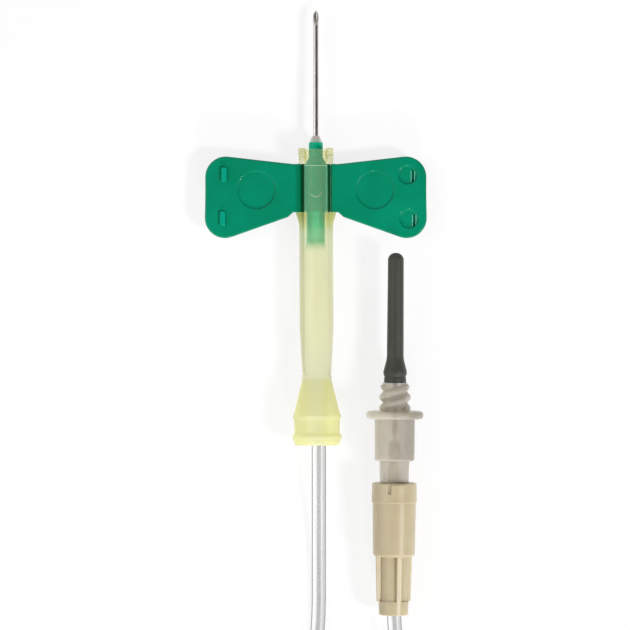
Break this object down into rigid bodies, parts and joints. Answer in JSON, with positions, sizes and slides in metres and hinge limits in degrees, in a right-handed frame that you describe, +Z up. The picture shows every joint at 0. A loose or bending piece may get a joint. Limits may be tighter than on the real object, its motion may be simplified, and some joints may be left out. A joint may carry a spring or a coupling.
{
  "type": "winged blood collection needle set",
  "caption": "Winged blood collection set: short needle in a folding-wing hub, sliding slotted safety shield, clear tubing to a luer hub with a screw-in tube adapter.",
  "frame": {"origin": "on the surface the set lies on, under the middle of the needle, wings and shield", "axes": "+Y the way the needle points, +Z up from the surface, +X to the right seen from above with the needle pointing away"},
  "size_m": [0.0348, 0.1208, 0.0085],
  "materials": {
    "needle_steel": "polished stainless tube with a ground tip",
    "adhesive": "cured clear adhesive",
    "wing_plastic": "moulded soft green plastic, satin gloss",
    "shield_plastic": "frosted translucent pale yellow moulding",
    "tubing": "clear extruded soft tubing",
    "luer_hub_plastic": "moulded tan plastic, slightly translucent",
    "adapter_plastic": "moulded translucent natural plastic",
    "sleeve_rubber": "matt moulded rubber"
  },
  "bodies": {
    "hub": {"needle_cannula": "needle_steel", "needle_adhesive": "adhesive", "wing_hub": "wing_plastic", "tubing_lead": "tubing", "tubing_coil": "tubing", "tubing_return": "tubing", "female_luer_hub": "luer_hub_plastic"},
    "shield": {"safety_shield": "shield_plastic"},
    "left_wing": {"left_wing": "wing_plastic"},
    "right_wing": {"right_wing": "wing_plastic"},
    "adapter": {"luer_adapter_body": "adapter_plastic", "rear_needle": "needle_steel", "rear_needle_adhesive": "adhesive", "rubber_sleeve": "sleeve_rubber"}
  },
  "joints": [
    {"name": "shield_slide", "type": "slide", "parent": "hub", "child": "shield", "axis": [-0.0045, 0.9997, -0.0255], "range_m": [0, 0.0239]},
    {"name": "left_wing_fold", "type": "hinge", "parent": "hub", "child": "left_wing", "pos_m": [-0.0026, 0.00581, 0.00291], "axis": [0, 0.9997, -0.0255], "range_deg": [-8, 88], "stiffness_Nm_per_rad": 0.002},
    {"name": "right_wing_fold", "type": "hinge", "parent": "hub", "child": "right_wing", "pos_m": [0.0026, 0.00581, 0.00291], "axis": [0, -0.9997, 0.0255], "range_deg": [-8, 88], "stiffness_Nm_per_rad": 0.002},
    {"name": "adapter_pull", "type": "slide", "parent": "hub", "child": "adapter", "axis": [0.0063, 0.9998, 0.0175], "range_m": [0, 0.011]}
  ]
}
